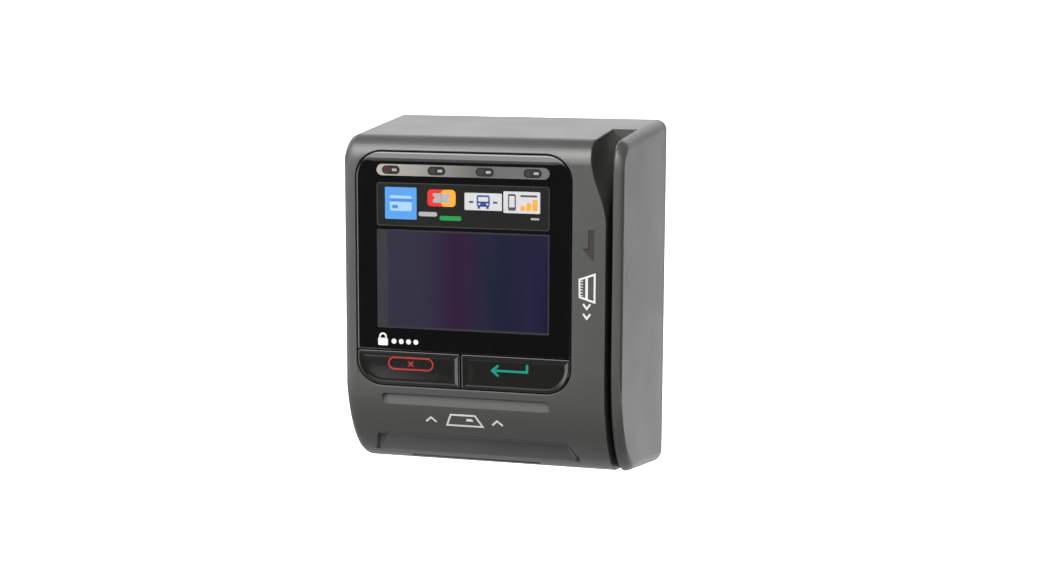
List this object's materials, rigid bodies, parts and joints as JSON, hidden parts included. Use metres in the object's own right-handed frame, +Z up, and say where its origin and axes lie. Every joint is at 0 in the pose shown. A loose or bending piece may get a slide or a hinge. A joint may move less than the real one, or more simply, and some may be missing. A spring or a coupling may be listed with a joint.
{
  "type": "card payment terminal",
  "caption": "Wall-mounted card payment terminal: tapered grey housing, black display window over two wide keys, side swipe slot with funnel, chip-card slot with finger recess below.",
  "frame": {"origin": "on the flat back of the rear cover, in the middle of the width and close to mid-height, where the terminal meets the wall", "axes": "+Z up, +Y out of the back into the wall, so the display faces -Y, and the swipe slot is at +X"},
  "size_m": [0.1216, 0.078, 0.1502],
  "materials": {
    "housing": "satin, fine texture",
    "window": "polished hard-coated",
    "key_caps": "glossy",
    "foam": "matt foam",
    "label": "printed film",
    "diffuser": "frosted",
    "lamp": "clear epoxy",
    "lcd": "polished",
    "steel": "satin",
    "brass": "turned",
    "copper": "bare copper track",
    "board": "solder resist",
    "backlight": "white",
    "ferrite": "sintered, matt",
    "silicone": "soft matt",
    "black_plastic": "matt moulded"
  },
  "bodies": {
    "housing": {"front_housing": "housing", "rear_cover": "housing", "lens_panel": "window", "lens_gasket": "foam", "rear_gasket": "foam", "label_insert": "label", "light_bar": "diffuser", "status_lamp_1": "lamp", "status_lamp_2": "lamp", "status_lamp_3": "lamp", "status_lamp_4": "lamp", "lcd_glass": "lcd", "lcd_frame": "steel", "head_spring": "steel", "head_bracket": "steel", "slot_wear_strip": "steel", "lever_pin": "steel", "security_shield": "steel", "coin_cell": "steel", "data_socket": "steel", "board_screw_1": "steel", "board_screw_2": "steel", "board_screw_3": "steel", "board_screw_4": "steel", "cover_screw_1": "steel", "cover_screw_2": "steel", "cover_screw_3": "steel", "cover_screw_4": "steel", "wall_insert_1": "brass", "wall_insert_2": "brass", "wall_insert_3": "brass", "wall_insert_4": "brass", "antenna_loop": "copper", "lcd_board": "board", "antenna_board": "board", "keypad_board": "board", "main_board": "board", "lcd_backlight": "backlight", "ferrite_sheet": "ferrite", "key_mat": "silicone", "cancel_dome": "silicone", "enter_dome": "silicone", "tamper_plunger": "silicone", "chip_reader_front": "black_plastic", "chip_reader_back": "black_plastic", "contact_block": "black_plastic", "card_switch": "black_plastic", "processor": "black_plastic", "secure_module_socket": "black_plastic", "cell_holder": "black_plastic", "buzzer": "black_plastic", "tamper_switch": "black_plastic", "power_socket": "black_plastic"},
    "cancel_key": {"cancel_key": "key_caps"},
    "enter_key": {"enter_key": "key_caps"},
    "mag_head": {"mag_head": "steel"},
    "card_lever": {"card_lever": "black_plastic"}
  },
  "joints": [
    {"name": "cancel_press", "type": "slide", "parent": "housing", "child": "cancel_key", "axis": [0, 1, 0], "range_m": [0, 0.0008], "stiffness_N_per_m": 300, "springref_m": -0.001, "deforming": ["cancel_dome"]},
    {"name": "enter_press", "type": "slide", "parent": "housing", "child": "enter_key", "axis": [0, 1, 0], "range_m": [0, 0.0008], "stiffness_N_per_m": 300, "springref_m": -0.001, "deforming": ["enter_dome"]},
    {"name": "head_float", "type": "slide", "parent": "housing", "child": "mag_head", "axis": [-1, 0, 0], "range_m": [0, 0.0006], "stiffness_N_per_m": 300, "springref_m": -0.001, "deforming": ["head_spring"]},
    {"name": "card_lever_turn", "type": "hinge", "parent": "housing", "child": "card_lever", "pos_m": [0.0095, -0.0505, -0.012], "axis": [1, 0, 0], "range_deg": [0, 20], "stiffness_Nm_per_rad": 0.004, "springref_deg": -11.46}
  ]
}
